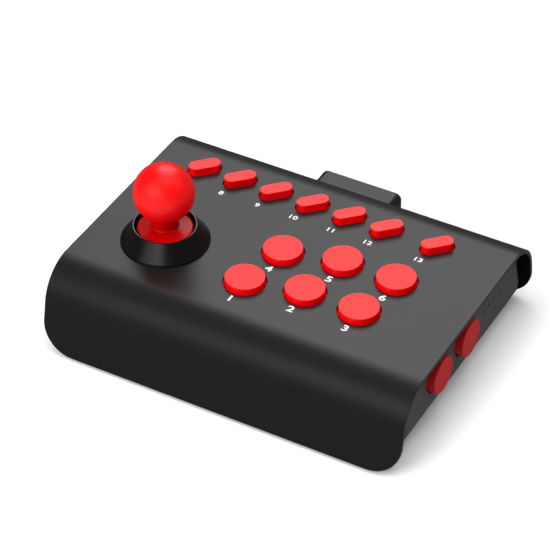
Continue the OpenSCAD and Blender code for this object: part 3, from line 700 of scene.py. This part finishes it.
# ---- plungers, rubber domes and the centring spring ----------------------
for i, (x, y) in enumerate(OBLONG_AT):
    stem = loft(f"oblong_stem_{i + 1}", ring(32), outline([(0.0, 44.65, 0.0), (2.2, 44.65, 0.25), (2.2, 47.2, 0.1), (0.0, 47.2, 0.0)],
                                                      closed=False, step=20), place=at(x, y))
    dress(stem, "cap", f"oblong_cap_{i + 1}", "button_red")


def dome(name, r1, r2, high, place):
    """A rubber dome of radius r1 at the foot and r2 at the top."""
    section = outline([(0.0, 0.0, 0.0), (r1, 0.0, 0.05), (r1 - 0.25, 0.55, 0.3), (r2, high, 0.35), (0.0, high, 0.0)],
                      closed=False, step=15)
    return loft(name, ring(48), section, place=place)


def keypad(name, node, loop, face_at, domes):
    """A silicone sheet on a board, with one dome under each plunger."""
    sheet = plate(name, outline(loop, step=10), [], rings_for(1.0, 0.15, 0.15, 2), flat_map(*face_at))
    dress(sheet, "silicone", "case", "silicone", node)
    for label, place, (r1, r2, high), joint, axis, anchor, keep in domes:
        bump = dome(label, r1, r2, high, place)
        dress(bump, "silicone", "case", "silicone", node)
        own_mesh(bump)


PAD_Z = 40.6
keypad("round_keypad_sheet", "round_keypad", [(-22.6, -49, 3), (76, -49, 3), (76, 20, 3), (-22.6, 20, 3)],
       ((0, 0, PAD_Z), (1, 0, 0), (0, 1, 0), (0, 0, 1)),
       [(f"round_dome_{i + 1}", at(x, y, PAD_Z), (6.2, 4.4, 3.98), f"press_round_{i + 1}", (0, 0, 1), (x, y, PAD_Z), 0.36)
        for i, (x, y) in enumerate(ROUND_AT)])
keypad("oblong_keypad_sheet", "oblong_keypad", [(-87.5, 34.6, 3), (75.5, 34.6, 3), (75.5, 50.8, 3), (-87.5, 50.8, 3)],
       ((0, 0, PAD_Z), (1, 0, 0), (0, 1, 0), (0, 0, 1)),
       [(f"oblong_dome_{i + 1}", at(x, y, PAD_Z), (4.0, 2.8, 3.98), f"press_oblong_{i + 1}", (0, 0, 1), (x, y, PAD_Z), 0.61)
        for i, (x, y) in enumerate(OBLONG_AT)])
keypad("side_keypad_sheet", "side_keypad", [(-46.5, 25, 0.5), (10.5, 25, 0.5), (10.5, 43.4, 0.5), (-46.5, 43.4, 0.5)],
       ((95, 0, 0), (0, 1, 0), (0, 0, 1), (1, 0, 0)),
       [(f"side_dome_{k}", Matrix.Translation((95, y, SIDE_Z)) @ turn_x, (5.6, 3.8, 2.99), f"press_side_{k}", (1, 0, 0),
         (95, y, SIDE_Z), 0.32) for k, y in (("front", SIDE_AT[0]), ("rear", SIDE_AT[1]))])

# The spring sits on the actuator and moves with the shaft, with room above it for the tilt.
WIRE, COIL_R, TURNS, STEPS, SIDES = 0.9, 6.2, 5, 32, 12
SPRING_LOW, SPRING_HIGH = 22.5 + WIRE / 2 + 0.02, 30.3 - WIRE / 2
verts, norms = [], []
for i in range(TURNS * STEPS + 1):
    t = i / STEPS
    lead = WIRE * 1.05 * 0.9
    if t < 1:
        z = SPRING_LOW + lead * t
    elif t > TURNS - 1:
        z = SPRING_HIGH - lead * (TURNS - t)
    else:
        z = SPRING_LOW + lead + (t - 1) / (TURNS - 2) * (SPRING_HIGH - SPRING_LOW - 2 * lead)
    a = 2 * math.pi * t
    for k in range(SIDES):
        b = 2 * math.pi * k / SIDES
        rr = COIL_R + WIRE / 2 * math.cos(b)
        verts.append((sx + rr * math.cos(a), sy + rr * math.sin(a), z + WIRE / 2 * math.sin(b)))
        norms.append((math.cos(b) * math.cos(a), math.cos(b) * math.sin(a), math.sin(b)))
last = TURNS * STEPS
faces = [list(range(SIDES)), [last * SIDES + SIDES - 1 - k for k in range(SIDES)]]
faces += [[i * SIDES + k, (i + 1) * SIDES + k, (i + 1) * SIDES + (k + 1) % SIDES, i * SIDES + (k + 1) % SIDES]
          for i in range(last) for k in range(SIDES)]
spring = make("centering_spring_wire", verts, faces, norms)
dress(spring, "steel", "stick", "steel", "centering_spring")
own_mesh(spring)

# ---- numbers -------------------------------------------------------------


def number(text, x, y, height):
    cu = bpy.data.curves.new("number_" + text, "FONT")
    cu.body = text
    cu.size = height * MM * 1.43
    cu.align_x = "CENTER"
    cu.align_y = "CENTER"
    cu.extrude = 0.00002
    cu.offset = height * MM * 0.02
    cu.resolution_u = 4
    tmp = bpy.data.objects.new("tmp_" + text, cu)
    scene.collection.objects.link(tmp)
    bpy.context.view_layer.update()
    dg = bpy.context.evaluated_depsgraph_get()
    mesh = bpy.data.meshes.new_from_object(tmp.evaluated_get(dg))
    bpy.data.objects.remove(tmp)
    xs = [v.co.x for v in mesh.vertices]
    ys = [v.co.y for v in mesh.vertices]
    mesh.transform(Matrix.Translation((-(min(xs) + max(xs)) / 2, -(min(ys) + max(ys)) / 2, 0)))
    mesh.transform(Matrix.Diagonal((1.3, 1.0, 1.0, 1.0)))
    mesh.transform(Matrix.Translation((x * MM, y * MM, (TOP_Z + 0.02) * MM)))
    mesh.materials.clear()
    bm = bmesh.new()
    bm.from_mesh(mesh)
    bmesh.ops.remove_doubles(bm, verts=bm.verts, dist=2e-6)
    bmesh.ops.dissolve_degenerate(bm, edges=bm.edges, dist=2e-6)
    bmesh.ops.recalc_face_normals(bm, faces=bm.faces)
    bm.to_mesh(mesh)
    bm.free()
    obj = bpy.data.objects.new("number_" + text, mesh)
    scene.collection.objects.link(obj)
    return dress(obj, "print", "case", None)


for i, (x, y) in enumerate(ROUND_AT):
    number(str(i + 1), x, y - 16.0, 4.6)
for i, (x, y) in enumerate(OBLONG_AT):
    number(str(i + 7), x - 4.3, y - 14.3, 3.2)

# ---- CAD nodes that stay -------------------------------------------------
STAY = {
    "bottom_cover": "cover", "socket_screws": "screw", "stick_shaft": "steel",
    "pivot_hub": "nylon", "shaft_pins": "steel", "gimbal_ring": "nylon", "gimbal_pins": "steel",
    "joystick_base": "moulded", "joystick_screws": "screw",
    "stick_actuator": "nylon", "shaft_clip": "steel", "direction_switches": "moulded", "stick_board": "board",
    "restrictor_gate": "moulded", "gate_screws": "screw", "main_board": "board",
    "board_screws": "screw", "radio_module": "can", "side_board": "board",
    "side_board_screws": "screw", "status_lights": "light", "light_guide": "smoked",
    "battery": "battery", "battery_leads": "lead", "charging_board": "board", "charging_socket": "steel",
    "stick_ribbon": "ribbon", "side_ribbon": "ribbon", "case_screws": "screw", "rubber_feet": "rubber",
}
for name, mat in STAY.items():
    obj = nodes[name]
    obj.data.materials.clear()
    obj.data.materials.append(M[mat])

# ---- floor, light and camera --------------------------------------------
mesh = bpy.data.meshes.new("floor")
mesh.from_pydata([(-6, -6, 0), (6, -6, 0), (6, 6, 0), (-6, 6, 0)], [], [(0, 1, 2, 3)])
floor = bpy.data.objects.new("floor", mesh)
scene.collection.objects.link(floor)
floor.location.z = -0.0001
M["floor"] = plastic("pale_floor", srgb(250, 250, 250), 0.9, grain=3, bump=0.0, vary=0.0, rough_vary=0.0, spec=0.0,
                     speck=0.0)
floor.data.materials.append(M["floor"])
floor.visible_glossy = False

world = bpy.data.worlds.new("studio")
scene.world = world
world.use_nodes = True
world.node_tree.nodes["Background"].inputs[0].default_value = (1, 1, 1, 1)
world.node_tree.nodes["Background"].inputs[1].default_value = 0.12


def lamp(name, where, aim, size, power, shape="RECTANGLE", color=(1, 1, 1)):
    data = bpy.data.lights.new(name, "AREA")
    data.shape = shape
    data.size = size[0]
    data.size_y = size[1]
    data.energy = power
    data.color = color
    obj = bpy.data.objects.new(name, data)
    scene.collection.objects.link(obj)
    obj.location = where
    obj.rotation_mode = "QUATERNION"
    obj.rotation_quaternion = (Vector(aim) - Vector(where)).to_track_quat("-Z", "Y")
    return obj


az, el = rad(28.802), rad(39.606)
forward = Vector((-math.sin(az) * math.cos(el), math.cos(az) * math.cos(el), -math.sin(el)))
right = Vector((math.cos(az), math.sin(az), 0))
up = right.cross(forward)

mirror = Vector((-0.371, 0.675, 0.6375))     # where the top plate reflects the camera
back = lamp("back_softbox", mirror * 1.5 + Vector((0.157, -0.037, 0.181)), (0, 0, 0.05), (1.0, 1.0), 11.5)
back.visible_diffuse = False
fill = lamp("front_softbox", Vector((-0.35, -0.75, 0.56)) * 1.5, (0, 0, 0.05), (1.2, 1.2), 20.5)
fill.visible_glossy = False
glow = lamp("front_gloss", Vector((-0.20, -0.79, 0.57)) * 1.5, (0, 0, 0.05), (0.9, 0.9), 2.7)
glow.visible_diffuse = False
glow2 = lamp("front_gloss_right", Vector((0.15, -0.87, 0.47)) * 1.5, (0, 0, 0.05), (0.6, 0.6), 1.5)
glow2.visible_diffuse = False
strip = lamp("front_strip", (-0.05, -0.38, 0.36), (0, -0.08, 0.03), (0.7, 0.15), 0.3)
strip.visible_glossy = False
top = lamp("top_softbox", Vector((0.1, 0.0, 1.5)), (0, 0, 0), (1.3, 1.3), 21)
top.visible_glossy = False
side = lamp("right_softbox", (1.0, 0.5, 1.0), (0, 0, 0.05), (0.8, 0.8), 5)
side.visible_glossy = False

cam_data = bpy.data.cameras.new("camera")
cam = bpy.data.objects.new("camera", cam_data)
scene.collection.objects.link(cam)
cam_data.sensor_width = 36
cam_data.lens = 168.14
cam_data.clip_start, cam_data.clip_end = 0.05, 50
cam.matrix_world = Matrix.LocRotScale(
    Vector((0.53158, -0.97990, 0.95428)),
    Matrix((right, up, -forward)).transposed().to_quaternion(), None)
scene.camera = cam
scene.view_settings.view_transform = "Standard"
scene.view_settings.look = "None"
